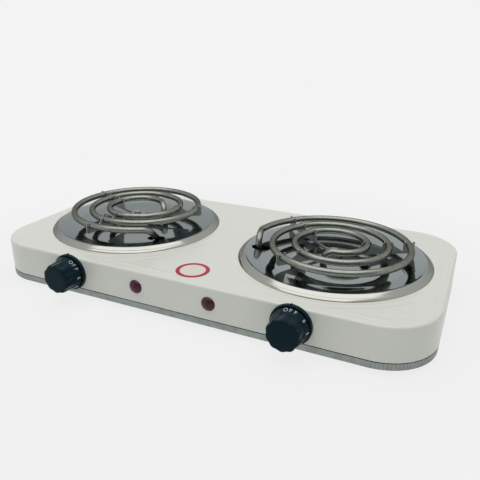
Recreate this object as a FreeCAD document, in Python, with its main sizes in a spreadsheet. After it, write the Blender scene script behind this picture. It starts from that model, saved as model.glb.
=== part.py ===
import FreeCAD, Part
import Sketcher
import math
import os
from FreeCAD import Placement, Rotation, Vector

# Twin-coil electric hot plate, in millimetres.
# +X is right, +Y is back, +Z is up. The origin is on the ground, in the middle of the
# footprint with the knobs and the cord bush counted in.

doc = FreeCAD.newDocument("HotPlate")
sheet = doc.addObject("Spreadsheet::Sheet", "Sizes")


class Size:
    """A length worked out from the sheet: its number and the expression behind it."""

    def __init__(self, value, text):
        self.value = value
        self.text = text

    def __add__(self, other):
        other = as_size(other)
        return Size(self.value + other.value, f"({self.text} + {other.text})")

    def __sub__(self, other):
        other = as_size(other)
        return Size(self.value - other.value, f"({self.text} - {other.text})")

    def __mul__(self, other):
        other = as_size(other)
        return Size(self.value * other.value, f"({self.text} * {other.text})")

    def __truediv__(self, other):
        other = as_size(other)
        return Size(self.value / other.value, f"({self.text} / {other.text})")

    def __neg__(self):
        return Size(-self.value, f"(-1 * {self.text})")

    __radd__ = __add__
    __rmul__ = __mul__


def as_size(number):
    if isinstance(number, Size):
        return number
    return Size(float(number), f"({float(number)})")


row_count = 0


def dim(alias, number):
    """Put one driving dimension in the sheet."""
    global row_count
    row_count += 1
    sheet.set(f"A{row_count}", alias)
    sheet.set(f"B{row_count}", str(number))
    sheet.setAlias(f"B{row_count}", alias)
    return Size(float(number), f"Sizes.{alias}")


# Body
body_width = dim("body_width", 480)
body_depth = dim("body_depth", 240)
corner_radius = dim("corner_radius", 51)
deck_edge = dim("deck_edge", 2.4)
sheet_metal = dim("sheet_metal", 1.0)
foot_height = dim("foot_height", 6)
strip_height = dim("strip_height", 6.3)
seam = dim("seam", 0.9)
deck_top = dim("deck_top", 47)
lip_height = dim("lip_height", 6)
lip_gap = dim("lip_gap", 0.3)
foot_radius = dim("foot_radius", 11)
foot_taper = dim("foot_taper", 1.5)
foot_well = dim("foot_well", 5)
foot_x = dim("foot_x", 185)
foot_y = dim("foot_y", 85)
pillar_x = dim("pillar_x", 213)
pillar_radius = dim("pillar_radius", 4.6)
vent_length = dim("vent_length", 40)
vent_width = dim("vent_width", 4)
vent_pitch = dim("vent_pitch", 16)
grommet_reach = dim("grommet_reach", 6)
grommet_neck = dim("grommet_neck", 7)
grommet_flange = dim("grommet_flange", 9.5)
VENT_COUNT = 6

# Fixings
screw_radius = dim("screw_radius", 1.9)
head_radius = dim("head_radius", 3.6)
head_height = dim("head_height", 1.8)
nut_radius = dim("nut_radius", 4.0)
nut_height = dim("nut_height", 3)
bolt_radius = dim("bolt_radius", 2.5)
bolt_head_radius = dim("bolt_head_radius", 4.5)
bolt_head_height = dim("bolt_head_height", 3.2)
bolt_tail = dim("bolt_tail", 1.5)
clearance = dim("clearance", 0.3)
fit = dim("fit", 0.05)

# Burners
burner_x = dim("burner_x", 123.5)
pan_radius = dim("pan_radius", 100)
pan_opening = dim("pan_opening", 94.8)
pan_sheet = dim("pan_sheet", 0.8)
pan_rise = dim("pan_rise", 2.0)
pan_flat = dim("pan_flat", 75)
rim_rise = dim("rim_rise", 5.0)
rim_width = dim("rim_width", 7)
rim_edge = dim("rim_edge", 0.8)
slot_length = dim("slot_length", 20)
slot_width = dim("slot_width", 12.6)
tube_radius = dim("tube_radius", 3.5)
coil_turn = dim("coil_turn", 977)
left_height = dim("left_coil_height", 67.5)
right_height = dim("right_coil_height", 62)
leg_bend = dim("leg_bend", 11)
leg_end = dim("leg_end", 31)
leg_hole = dim("leg_hole", 4.2)
arm_sheet = dim("arm_sheet", 1.2)
arm_fall = dim("arm_fall", 6)
fork_tine = dim("fork_tine", 2)
hub_radius = dim("hub_radius", 9)
hub_height = dim("hub_height", 3)
hub_drop = dim("hub_drop", 12)
post_radius = dim("post_radius", 4.5)
bead_height = dim("bead_height", 4)
pin_radius = dim("pin_radius", 1.25)
pin_bottom = dim("pin_bottom", 20)

# Controls
control_shift = dim("control_shift", -1.7)
control_z = dim("control_z", 30.1)
control_width = dim("control_width", 34)
control_height = dim("control_height", 20)
control_depth = dim("control_depth", 22)
plate_sheet = dim("plate_sheet", 1.2)
plate_width = dim("plate_width", 40)
plate_height = dim("plate_height", 18)
tab_length = dim("tab_length", 7)
tab_width = dim("tab_width", 6.3)
tab_sheet = dim("tab_sheet", 0.8)
tab_x = dim("tab_x", 8)
tap_spacing = dim("tap_spacing", 14)
tap_depth = dim("tap_depth", 6)
bush_radius = dim("bush_radius", 4.8)
bush_reach = dim("bush_reach", 2.5)
shaft_radius = dim("shaft_radius", 3)
shaft_flat = dim("shaft_flat", 1.8)
shaft_tail = dim("shaft_tail", 6.5)
spring_sheet = dim("spring_sheet", 0.45)
knob_x = dim("knob_x", 123.05)
knob_radius = dim("knob_radius", 17.9)
grip_radius = dim("grip_radius", 16.4)
nose_radius = dim("nose_radius", 15.3)
knob_back = dim("knob_back", 4.5)
knob_shoulder = dim("knob_shoulder", 10)
knob_reach = dim("knob_reach", 24)
knob_cap = dim("knob_cap", 4)
flute_radius = dim("flute_radius", 4.5)
flute_depth = dim("flute_depth", 1.3)
dial_radius = dim("dial_radius", 19.6)
dial_lip = dim("dial_lip", 1.5)
dial_plate = dim("dial_plate", 1.5)
dial_depth = dim("dial_depth", 3.6)
pointer_half = dim("pointer_half", 1.3)
pointer_reach = dim("pointer_reach", 1.6)
lamp_x = dim("lamp_x", 40.8)
lamp_radius = dim("lamp_radius", 7)
lamp_dome = dim("lamp_dome", 3.2)
lamp_stem = dim("lamp_stem", 5.6)
lamp_stem_length = dim("lamp_stem_length", 6)
lamp_length = dim("lamp_length", 13)
lamp_wall = dim("lamp_wall", 2.1)
clip_sheet = dim("clip_sheet", 0.6)
clip_width = dim("clip_width", 3)
FLUTE_COUNT = 10

# Wiring
wire_radius = dim("wire_radius", 0.9)
block_y = dim("block_y", 92)
block_width = dim("block_width", 62)
block_depth = dim("block_depth", 16)
block_height = dim("block_height", 13)
block_fixing_x = dim("block_fixing_x", 27)
block_fixing_depth = dim("block_fixing_depth", 9)
block_screw = dim("block_screw", 1.5)
pole_pitch = dim("pole_pitch", 10)
pole_height = dim("pole_height", 13.5)
clamp_inset = dim("clamp_inset", 4)
clamp_gap = dim("clamp_gap", 1.4)
earth_y = dim("earth_y", 48)
earth_stem = dim("earth_stem", 8)
lug_sheet = dim("lug_sheet", 1.2)
lug_width = dim("lug_width", 3)
lug_length = dim("lug_length", 10)
POLES = (-2, -1, 0, 1, 2)
doc.recompute()

base_floor = foot_height + sheet_metal
strip_top = foot_height + strip_height
body_y = (knob_reach - grommet_reach) / 2
front_y = body_y - body_depth / 2
back_y = body_y + body_depth / 2
pan_floor = deck_top + pan_rise
control_front = sheet_metal + plate_sheet
control_back = control_front + control_depth
knob_bore = shaft_radius + fit
SIDES = (("left", -1), ("right", 1))
UP = Rotation()
FRONT = Rotation(Vector(1, 0, 0), 90)
BACK = Rotation(Vector(1, 0, 0), -90)
nodes = []


def node(item):
    """Note a finished sub-part, whose label names its file."""
    nodes.append(item)
    return item


def bind(item, prop, size):
    item.setExpression(prop, as_size(size).text)


def place(item, at, turn=UP):
    item.Placement = Placement(Vector(), turn)
    for letter, size in zip("xyz", at):
        bind(item, f"Placement.Base.{letter}", size)
    return item


def cylinder(name, radius, height, at, turn=UP):
    item = doc.addObject("Part::Cylinder", name)
    bind(item, "Radius", radius)
    bind(item, "Height", height)
    return place(item, at, turn)


def box(name, length, width, height, at, turn=UP):
    item = doc.addObject("Part::Box", name)
    bind(item, "Length", length)
    bind(item, "Width", width)
    bind(item, "Height", height)
    return place(item, at, turn)


def hexagon(name, across, height, at):
    """A hexagonal prism, as wide across its corners as twice the radius given."""
    item = doc.addObject("Part::Prism", name)
    item.Polygon = 6
    bind(item, "Circumradius", across)
    bind(item, "Height", height)
    return place(item, at)


def cut(name, base, *tools):
    item = doc.addObject("Part::Cut", name)
    item.Base = base
    item.Tool = tools[0] if len(tools) == 1 else fuse(f"{name}_tools", *tools)
    return item


def fuse(name, *shapes):
    item = doc.addObject("Part::MultiFuse", name)
    item.Shapes = list(shapes)
    return item


def group(name, items):
    """Several separate solids in one node."""
    item = doc.addObject("Part::Compound", name)
    item.Links = items
    return node(item)


def new_body(name):
    return doc.addObject("PartDesign::Body", name)


def sketch(body, name, role, at=(0, 0, 0), turn=0):
    item = body.newObject("Sketcher::SketchObject", name)
    plane = next(feature for feature in body.Origin.OriginFeatures if feature.Role == role)
    item.AttachmentSupport = [(plane, "")]
    item.MapMode = "FlatFace"
    item.AttachmentOffset = Placement(Vector(), Rotation(Vector(0, 0, 1), turn))
    for letter, size in zip("xyz", at):
        bind(item, f"AttachmentOffset.Base.{letter}", size)
    return item


def hold(item, kind, geometry, point, size):
    """Fix one point of a sketch along an axis by a bound distance from the origin."""
    size = as_size(size)
    index = item.addConstraint(Sketcher.Constraint(kind, -1, 1, geometry, point, size.value))
    item.setExpression(f"Constraints[{index}]", size.text)


def outline(item, points):
    """A closed outline of straight lines with every corner bound to the sheet."""
    points = [(as_size(x), as_size(y)) for x, y in points]
    first = item.GeometryCount
    count = len(points)
    for (x, y), (next_x, next_y) in zip(points, points[1:] + points[:1]):
        start = Vector(x.value, y.value, 0)
        end = Vector(next_x.value, next_y.value, 0)
        item.addGeometry(Part.LineSegment(start, end))
    for step in range(count):
        line = first + step
        following = first + (step + 1) % count
        item.addConstraint(Sketcher.Constraint("Coincident", line, 2, following, 1))
    for step, (x, y) in enumerate(points):
        hold(item, "DistanceX", first + step, 1, x)
        hold(item, "DistanceY", first + step, 1, y)


def rounded_rectangle(item, width, depth, radius, x=0, y=0):
    """A rectangle with round corners about a middle point, its lines and arcs bound to the sheet."""
    x = as_size(x)
    y = as_size(y)
    half_width = as_size(width) / 2
    half_depth = as_size(depth) / 2
    flat_width = half_width - radius
    flat_depth = half_depth - radius
    runs = [((x - flat_width, y - half_depth), (x + flat_width, y - half_depth)),
            ((x + half_width, y - flat_depth), (x + half_width, y + flat_depth)),
            ((x + flat_width, y + half_depth), (x - flat_width, y + half_depth)),
            ((x - half_width, y + flat_depth), (x - half_width, y - flat_depth))]
    middles = [(x + flat_width, y - flat_depth), (x + flat_width, y + flat_depth),
               (x - flat_width, y + flat_depth), (x - flat_width, y - flat_depth)]
    lines, arcs = [], []
    for index, (start, end) in enumerate(runs):
        first, last = [Vector(along.value, up.value, 0) for along, up in (start, end)]
        line = item.addGeometry(Part.LineSegment(first, last))
        lines.append(line)
        for point, (along, up) in ((1, start), (2, end)):
            hold(item, "DistanceX", line, point, along)
            hold(item, "DistanceY", line, point, up)
        along, up = middles[index]
        corner = Part.Circle(Vector(along.value, up.value, 0), Vector(0, 0, 1), radius.value)
        turn = math.pi / 2 * (index - 1)
        arcs.append(item.addGeometry(Part.ArcOfCircle(corner, turn, turn + math.pi / 2)))
    for index, arc in enumerate(arcs):
        item.addConstraint(Sketcher.Constraint("Coincident", lines[index], 2, arc, 1))
        item.addConstraint(Sketcher.Constraint("Coincident", arc, 2, lines[(index + 1) % 4], 1))
        number = item.addConstraint(Sketcher.Constraint("Radius", arc, radius.value))
        item.setExpression(f"Constraints[{number}]", radius.text)


def circle(item, x, y, radius):
    x = as_size(x)
    y = as_size(y)
    radius = as_size(radius)
    centre = Vector(x.value, y.value, 0)
    index = item.addGeometry(Part.Circle(centre, Vector(0, 0, 1), radius.value))
    hold(item, "DistanceX", index, 3, x)
    hold(item, "DistanceY", index, 3, y)
    number = item.addConstraint(Sketcher.Constraint("Radius", index, radius.value))
    item.setExpression(f"Constraints[{number}]", radius.text)


def slot(item, length, width):
    """A round-ended slot along the sketch's X axis, in the middle of the sketch."""
    radius = as_size(width) / 2
    reach = as_size(length) / 2 - radius
    ends = []
    for sign, start in ((1, -math.pi / 2), (-1, math.pi / 2)):
        round_end = Part.Circle(Vector(sign * reach.value, 0, 0), Vector(0, 0, 1), radius.value)
        ends.append(item.addGeometry(Part.ArcOfCircle(round_end, start, start + math.pi)))
    right, left = ends
    top = item.addGeometry(Part.LineSegment(Vector(reach.value, radius.value, 0),
                                            Vector(-reach.value, radius.value, 0)))
    bottom = item.addGeometry(Part.LineSegment(Vector(-reach.value, -radius.value, 0),
                                               Vector(reach.value, -radius.value, 0)))
    for one, end, two, start in ((right, 2, top, 1), (top, 2, left, 1),
                                 (left, 2, bottom, 1), (bottom, 2, right, 1)):
        item.addConstraint(Sketcher.Constraint("Coincident", one, end, two, start))
    for line, start_x, height in ((top, reach, radius), (bottom, -reach, -radius)):
        hold(item, "DistanceX", line, 1, start_x)
        hold(item, "DistanceY", line, 1, height)
        hold(item, "DistanceX", line, 2, -start_x)
        hold(item, "DistanceY", line, 2, height)
    hold(item, "DistanceX", right, 3, reach)
    hold(item, "DistanceX", left, 3, -reach)


def pad(body, name, profile, length, kind="PartDesign::Pad"):
    item = body.newObject(kind, name)
    item.Profile = profile
    bind(item, "Length", length)
    doc.recompute()
    return item


def pocket(body, name, profile, length, reverse=False):
    """Cut a sketch into the body, and make sure that something was cut away."""
    before = body.Shape.Volume
    item = body.newObject("PartDesign::Pocket", name)
    item.Profile = profile
    item.Reversed = reverse
    bind(item, "Length", length)
    doc.recompute()
    if body.Shape.Volume > before - 1e-6:
        raise RuntimeError(f"{body.Name}: {name} cuts nothing")
    return item


def revolve(body, points, name="turned"):
    """Turn an outline of radius and height about the body's own Z axis."""
    profile = sketch(body, f"{body.Name}_{name}_profile", "XZ_Plane")
    outline(profile, points)
    item = body.newObject("PartDesign::Revolution", f"{body.Name}_{name}")
    item.Profile = profile
    item.ReferenceAxis = (profile, ["V_Axis"])
    item.Angle = 360
    doc.recompute()
    return item


def edge_names(feature, test):
    return [f"Edge{index + 1}" for index, edge in enumerate(feature.Shape.Edges) if test(edge)]


def is_level(height):
    """Test for the edges that lie wholly at one height."""
    def test(edge):
        box_of = edge.BoundBox
        return box_of.ZLength < 1e-4 and abs(box_of.ZMin - height) < 1e-4
    return test


def fillet(body, name, feature, test, radius):
    item = body.newObject("PartDesign::Fillet", name)
    item.Base = (feature, edge_names(feature, test))
    bind(item, "Radius", radius)
    doc.recompute()
    return item


def hollow(body, name, feature, height):
    """Shell a body inwards, leaving it open at the flat face of the given height."""
    faces = [f"Face{index + 1}" for index, face in enumerate(feature.Shape.Faces)
             if face.BoundBox.ZLength < 1e-4 and abs(face.BoundBox.ZMin - height) < 1e-4]
    item = body.newObject("PartDesign::Thickness", name)
    item.Base = (feature, faces)
    item.Reversed = True
    bind(item, "Value", sheet_metal)
    doc.recompute()
    return item


def burner_at(sign):
    return burner_x * sign, body_y


def control_at(sign):
    return control_shift + knob_x * sign


def lamp_at(sign):
    return control_shift + lamp_x * sign


def corners(x, y):
    return [(x * sx, body_y + y * sy) for sx in (-1, 1) for sy in (-1, 1)]


def top_housing():
    """White enamelled shell, pressed from sheet, with the openings of both burners."""
    body = new_body("top_housing")
    bottom = strip_top + seam
    plan = sketch(body, "housing_plan", "XY_Plane", (0, 0, bottom))
    rounded_rectangle(plan, body_width, body_depth, corner_radius, 0, body_y)
    block = pad(body, "housing_block", plan, deck_top - bottom)
    eased = fillet(body, "housing_deck_edge", block, is_level(deck_top.value), deck_edge)
    hollow(body, "housing_hollow", eased, bottom.value)
    deep = deck_edge * 2
    openings = sketch(body, "burner_openings", "XY_Plane", (0, 0, deck_top))
    for _, sign in SIDES:
        x, y = burner_at(sign)
        circle(openings, x, y, pan_opening)
    pocket(body, "burner_cut", openings, deep)
    wall = sketch(body, "front_holes", "XZ_Plane", (0, 0, -front_y))
    for _, sign in SIDES:
        x = control_at(sign)
        circle(wall, x, control_z, bush_radius + clearance * 2)
        for way in (-1, 1):
            circle(wall, x + tap_spacing * way, control_z, screw_radius + clearance)
        circle(wall, lamp_at(sign), control_z, lamp_stem + clearance)
    pocket(body, "front_cut", wall, deep)
    rear = sketch(body, "cord_hole", "XZ_Plane", (0, 0, -back_y))
    circle(rear, 0, control_z, grommet_neck)
    pocket(body, "cord_cut", rear, deep, reverse=True)
    node(body)


def base_plate():
    """Galvanised tray: its wall shows below the enamel, then steps in behind it as a lip."""
    body = new_body("base_plate")
    floor_plan = sketch(body, "tray_plan", "XY_Plane", (0, 0, foot_height))
    rounded_rectangle(floor_plan, body_width, body_depth, corner_radius, 0, body_y)
    pad(body, "tray_block", floor_plan, strip_height)
    lip_top = strip_top + lip_height
    for name, inset, height in (("lip", sheet_metal + lip_gap, strip_top),
                                ("well", sheet_metal * 2 + lip_gap, lip_top)):
        plan = sketch(body, f"{name}_plan", "XY_Plane", (0, 0, height))
        width = body_width - inset * 2
        rounded_rectangle(plan, width, body_depth - inset * 2, corner_radius - inset, 0, body_y)
        if name == "lip":
            pad(body, "lip_block", plan, lip_height)
        else:
            pocket(body, "well_cut", plan, lip_top - base_floor)
    holes = sketch(body, "tray_holes", "XY_Plane", (0, 0, base_floor))
    for x, y in corners(foot_x, foot_y) + corners(pillar_x, foot_y):
        circle(holes, x, y, screw_radius + clearance)
    for _, sign in SIDES:
        x, y = burner_at(sign)
        circle(holes, x, y, bolt_radius + clearance)
        circle(holes, block_fixing_x * sign, block_y, block_screw + clearance)
    circle(holes, 0, earth_y, screw_radius + clearance)
    pocket(body, "tray_hole_cut", holes, sheet_metal * 2)
    for index in range(VENT_COUNT):
        across = burner_x + vent_pitch * (index - (VENT_COUNT - 1) / 2)
        for _, sign in SIDES:
            at = (across * sign, body_y + vent_length, base_floor)
            vent = sketch(body, f"vent_{sign}_{index}", "XY_Plane", at, 90)
            slot(vent, vent_length, vent_width)
            pocket(body, f"vent_cut_{sign}_{index}", vent, sheet_metal * 2)
    node(body)


def nut(name, at):
    """A hexagonal nut for the small screws."""
    blank = hexagon(f"{name}_blank", nut_radius, nut_height, at)
    bore = cylinder(f"{name}_bore", screw_radius + fit, nut_height, at)
    return cut(name, blank, bore)


def feet():
    """Four rubber feet, each held by a screw from below and a nut inside the tray."""
    rubber, screws, nuts = [], [], []
    seat = foot_height / 2
    stem_length = base_floor + nut_height + screw_radius / 2 - seat
    for index, (x, y) in enumerate(corners(foot_x, foot_y)):
        foot = doc.addObject("Part::Cone", f"foot_{index}")
        bind(foot, "Radius1", foot_radius - foot_taper)
        bind(foot, "Radius2", foot_radius)
        bind(foot, "Height", foot_height)
        place(foot, (x, y, 0))
        well = cylinder(f"foot_well_{index}", foot_well, seat, (x, y, 0))
        hole = cylinder(f"foot_hole_{index}", screw_radius + clearance, foot_height, (x, y, 0))
        rubber.append(cut(f"foot_cut_{index}", foot, well, hole))
        head = cylinder(f"foot_head_{index}", head_radius, head_height, (x, y, seat - head_height))
        stem = cylinder(f"foot_stem_{index}", screw_radius, stem_length, (x, y, seat))
        screws.append(fuse(f"foot_screw_{index}", head, stem))
        nuts.append(nut(f"foot_nut_{index}", (x, y, base_floor)))
    group("rubber_feet", rubber)
    group("foot_screws", screws)
    group("foot_nuts", nuts)


def pillars():
    """Threaded pillars between the deck and the tray, with the screws that close the base."""
    columns, screws = [], []
    height = deck_top - sheet_metal - base_floor
    thread = height / 2
    for index, (x, y) in enumerate(corners(pillar_x, foot_y)):
        blank = hexagon(f"pillar_blank_{index}", pillar_radius, height, (x, y, base_floor))
        bore = cylinder(f"pillar_bore_{index}", screw_radius + fit, thread, (x, y, base_floor))
        columns.append(cut(f"pillar_{index}", blank, bore))
        under = (x, y, foot_height - head_height)
        head = cylinder(f"base_head_{index}", head_radius, head_height, under)
        stem = cylinder(f"base_stem_{index}", screw_radius, thread - clearance, (x, y, foot_height))
        screws.append(fuse(f"base_screw_{index}", head, stem))
    group("housing_pillars", columns)
    group("base_screws", screws)


class Burner:
    """How one coil lies in its pan: its height, its winding, its legs and its support arms.

    Places in plan are measured from the middle of the pan. The winding starts with an arc of the
    given centre and radius; the steps say how much tighter each quarter of a turn is than the one
    before. The outer end runs on straight for a while and bends towards its leg, which stands
    upright from below as far as the knee.
    """

    def __init__(self, side, sign, height, centre, radius, steps, start, arms, run, leg, knee,
                 slot_at, slot_turn):
        self.side = side
        self.x, self.y = burner_at(sign)
        self.height = height
        self.centre = Vector(*centre, height.value)
        self.radius = radius
        self.steps = steps
        self.start = start
        self.arms = arms
        self.run = run
        self.leg = Vector(*leg, 0)
        self.knee = knee
        self.slot_at = slot_at
        self.slot_turn = slot_turn
        self.arcs = self.spiral()

    def spiral(self):
        """Quarter-turn arcs wound clockwise and inwards, each a step tighter than the last.

        Each centre is a step nearer to the end of the arc before, so the arcs meet smoothly.
        """
        centre = self.centre
        radius = self.radius
        angle = math.radians(self.start)
        left_to_turn = math.radians(coil_turn.value)
        arcs = []
        while left_to_turn > 1e-9:
            turn = min(math.pi / 2, left_to_turn)
            step = self.steps[len(arcs) % len(self.steps)]
            arcs.append((centre, radius, angle, turn))
            angle -= turn
            left_to_turn -= turn
            centre = centre + spoke(angle) * step
            radius -= step
        return arcs

    def start_point(self):
        centre, radius, angle, _ = self.arcs[0]
        return centre + spoke(angle) * radius

    def end_point(self):
        centre, radius, angle, turn = self.arcs[-1]
        return centre + spoke(angle - turn) * radius

    def inner_corner(self):
        """The inner end runs on along its tangent before the leg turns straight down."""
        _, _, angle, turn = self.arcs[-1]
        return self.end_point() + spoke(angle - turn - math.pi / 2) * (leg_bend.value + 1)

    def outer_corner(self):
        _, _, angle, _ = self.arcs[0]
        return self.start_point() + spoke(angle + math.pi / 2) * self.run

    def legs(self):
        """The lower ends of the outer and the inner leg, in plan."""
        inner = self.inner_corner()
        return [self.leg, Vector(inner.x, inner.y, 0)]

    def path(self):
        """The whole centre line: up the outer leg, round the turns and down the inner leg."""
        outer, inner = self.legs()
        end = Vector(0, 0, leg_end.value)
        knee = outer + Vector(0, 0, self.knee.value)
        outer_points = [outer + end, knee, self.outer_corner(), self.start_point()]
        edges = rounded_route(outer_points, leg_bend.value)
        for centre, radius, angle, turn in self.arcs:
            points = [centre + spoke(angle - turn * part) * radius for part in (0, 0.5, 1)]
            edges.append(Part.Arc(*points).toShape())
        inner_points = [self.end_point(), self.inner_corner(), inner + end]
        edges += rounded_route(inner_points, leg_bend.value)
        return Part.Wire(edges)

    def crossings(self, angle):
        """Distances from the pan's middle at which the turns cross a ray in plan."""
        ray = spoke(math.radians(angle))
        found = []
        for centre, radius, start, turn in self.arcs:
            along = centre.x * ray.x + centre.y * ray.y
            apart = centre.x * ray.y - centre.y * ray.x
            reach = along + math.sqrt(radius ** 2 - apart ** 2)
            spot = ray * reach - Vector(centre.x, centre.y, 0)
            turned = (start - math.atan2(spot.y, spot.x)) % (2 * math.pi)
            if turned <= turn:
                found.append(reach)
        return found

    def moved(self, shape):
        shape.translate(Vector(self.x.value, self.y.value, 0))
        return shape


def spoke(angle):
    return Vector(math.cos(angle), math.sin(angle), 0)


def rounded_route(points, bend):
    """Straight runs through the points, joined by tangent arcs at the points between."""
    edges = []
    last = points[0]
    for before, corner, after in zip(points, points[1:], points[2:]):
        going = (corner - before).normalize()
        leaving = (after - corner).normalize()
        half = going.getAngle(leaving) / 2
        inset = bend * math.tan(half)
        first = corner - going * inset
        final = corner + leaving * inset
        inward = (leaving - going).normalize()
        middle = corner + inward * (bend / math.cos(half) - bend)
        if (first - last).Length > 1e-6:
            edges.append(Part.LineSegment(last, first).toShape())
        edges.append(Part.Arc(first, middle, final).toShape())
        last = final
    if (points[-1] - last).Length > 1e-6:
        edges.append(Part.LineSegment(last, points[-1]).toShape())
    return edges


def tube(path, radius):
    """A round solid along a path, whose volume has to match its section times its length."""
    first = path.OrderedEdges[0]
    start = first.valueAt(first.FirstParameter)
    heading = first.tangentAt(first.FirstParameter)
    ring = Part.Wire(Part.makeCircle(radius, start, heading))
    solid = path.makePipeShell([ring], True, False)
    expected = math.pi * radius ** 2 * path.Length
    if abs(solid.Volume / expected - 1) > 0.01:
        raise RuntimeError(f"tube volume {solid.Volume} for {expected}")
    return solid


def least_gap(path, radius):
    """The least clear distance between stretches of one tube, measured on points along it."""
    spacing = radius
    points = path.discretize(Distance=spacing)
    apart = int(math.pi * radius * 4 / spacing)
    least = min((one - two).Length for index, one in enumerate(points)
                for two in points[index + apart:])
    return least - 2 * radius


def feature(name, shape):
    item = doc.addObject("Part::Feature", name)
    item.Shape = shape
    return node(item)


BURNERS = (
    Burner("left", -1, left_height, centre=(9.4, 3.1), radius=82.5, steps=(6.2, 5.6, 5.3, 3.9),
           start=-60, arms=(20, 161, 265), run=10.5, leg=(52.5, -36), knee=deck_top,
           slot_at=(53.3, -40.1), slot_turn=22),
    Burner("right", 1, right_height, centre=(-2.4, -3.5), radius=82.8, steps=(5.0, 7.1, 2.8, 7.3),
           start=171, arms=(24, 141, 236), run=3, leg=(-79.2, -14.2), knee=right_height,
           slot_at=(-76.2, -14.8), slot_turn=21),
)


def drip_pan(burner):
    """Chromed pressed dish: a flat middle, a gently rising floor, a raised ring and a sloping rim."""
    body = new_body(f"drip_pan_{burner.side}")
    crest = pan_radius - rim_width
    ring_foot = crest - rim_edge * 2
    ring_base = rim_rise - rim_edge
    slope = pan_radius - rim_width / 3
    top = [(0, pan_rise), (pan_flat, pan_rise), (ring_foot, ring_base), (crest, rim_rise),
           (crest + rim_edge, rim_rise), (slope, rim_rise / 2), (pan_radius, rim_edge), (pan_radius, 0)]
    under = [(0, pan_rise - pan_sheet), (pan_flat, pan_rise - pan_sheet),
             (ring_foot, ring_base - pan_sheet), (crest + rim_edge / 2, rim_rise - pan_sheet),
             (slope - rim_edge, rim_rise / 2 - pan_sheet / 2), (pan_radius - rim_edge, 0)]
    revolve(body, top + under[::-1])
    leg_slot = sketch(body, f"slot_{burner.side}", "XY_Plane", (*burner.slot_at, 0), burner.slot_turn)
    slot(leg_slot, slot_length, slot_width)
    pocket(body, f"slot_cut_{burner.side}", leg_slot, rim_rise, reverse=True)
    inner = burner.legs()[1]
    holes = sketch(body, f"pan_holes_{burner.side}", "XY_Plane")
    circle(holes, 0, 0, bolt_radius + clearance)
    circle(holes, inner.x, inner.y, leg_hole)
    pocket(body, f"pan_hole_cut_{burner.side}", holes, rim_rise, reverse=True)
    place(body, (burner.x, burner.y, deck_top))
    node(body)


def heating_coil(burner):
    """Sheathed heater: one unbroken tube wound in a spiral, with a leg down at each end."""
    path = burner.path()
    gap = least_gap(path, tube_radius.value)
    print(f"heating_coil_{burner.side}: least gap to itself {gap:.2f} mm")
    feature(f"heating_coil_{burner.side}", burner.moved(tube(path, tube_radius.value)))


def coil_support(burner):
    """Three upright steel arms on a hub, with a fork for each turn that they carry.

    Between two forks the top edge of an arm falls away outwards, most of all in the outer gap.
    """
    level = burner.height.value
    hub_base = (burner.height - hub_drop).value
    hub_top = hub_base + hub_height.value
    hub = hub_radius.value
    root = hub - hub_height.value
    thick = arm_sheet.value
    notch_radius = (tube_radius + clearance).value
    seat = level + fit.value
    tine = fork_tine.value
    fork = notch_radius + tine
    below = level - tube_radius.value * 2
    lip = level + tube_radius.value
    edge = level + tine / 2
    shoulder = level - tine / 2
    shape = Part.makeCylinder(hub, hub_height.value, Vector(0, 0, hub_base))
    for angle in burner.arms:
        notches = sorted(burner.crossings(angle), reverse=True)
        tip = notches[0] + fork
        heel = notches[-1] - fork
        profile = [(root, hub_base), (hub * 2, hub_base), (tip - tine, below - tine), (tip, below),
                   (tip, lip), (tip - tine, lip), (tip - tine, edge)]
        for gap, (outer, inner) in enumerate(zip(notches, notches[1:]), start=1):
            fall = arm_fall.value / gap
            profile += [(outer - fork, edge), (outer - fork, shoulder - fall),
                        (inner + fork, shoulder), (inner + fork, edge)]
        profile += [(heel, edge), (heel - tine, hub_top), (root, hub_top)]
        corner_points = [Vector(x, -thick / 2, z) for x, z in profile]
        face = Part.Face(Part.makePolygon(corner_points + corner_points[:1]))
        arm = face.extrude(Vector(0, thick, 0))
        for reach in notches:
            middle = Vector(reach, -thick, seat)
            arm = arm.cut(Part.makeCylinder(notch_radius, thick * 2, middle, Vector(0, 1, 0)))
        arm.rotate(Vector(), Vector(0, 0, 1), angle)
        shape = shape.fuse(arm)
    bore = Part.makeCylinder((bolt_radius + clearance).value, level, Vector())
    feature(f"coil_support_{burner.side}", burner.moved(shape.cut(bore).removeSplitter()))


def centre_bolt(burner):
    """Bolt that pulls the support and the pan down on to the tray."""
    top = burner.height - hub_drop + hub_height
    above = (burner.x, burner.y, top)
    below = (burner.x, burner.y, bolt_tail)
    head = hexagon(f"bolt_head_{burner.side}", bolt_head_radius, bolt_head_height, above)
    stem = cylinder(f"bolt_stem_{burner.side}", bolt_radius, top - bolt_tail, below)
    node(fuse(f"centre_bolt_{burner.side}", head, stem))


def sleeve(name, radius, bottom, top, burner):
    """A plain tube round a centre bolt."""
    at = (burner.x, burner.y, bottom)
    blank = cylinder(f"{name}_blank", radius, top - bottom, at)
    bore = cylinder(f"{name}_bore", bolt_radius + clearance, top - bottom, at)
    return cut(name, blank, bore)


def centre_fixings():
    """Posts above the pans, sleeves between the pans and the tray, and nuts under the tray."""
    posts, sleeves, nuts = [], [], []
    for burner in BURNERS:
        side = burner.side
        posts.append(sleeve(f"post_{side}", post_radius, pan_floor, burner.height - hub_drop, burner))
        sleeves.append(sleeve(f"sleeve_{side}", post_radius, base_floor, pan_floor - pan_sheet, burner))
        below = (burner.x, burner.y, foot_height - bolt_head_height)
        blank = hexagon(f"centre_nut_blank_{side}", bolt_head_radius, bolt_head_height, below)
        bore = cylinder(f"centre_nut_bore_{side}", bolt_radius + fit, bolt_head_height, below)
        nuts.append(cut(f"centre_nut_{side}", blank, bore))
    group("support_posts", posts)
    group("centre_spacers", sleeves)
    group("centre_nuts", nuts)


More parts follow.
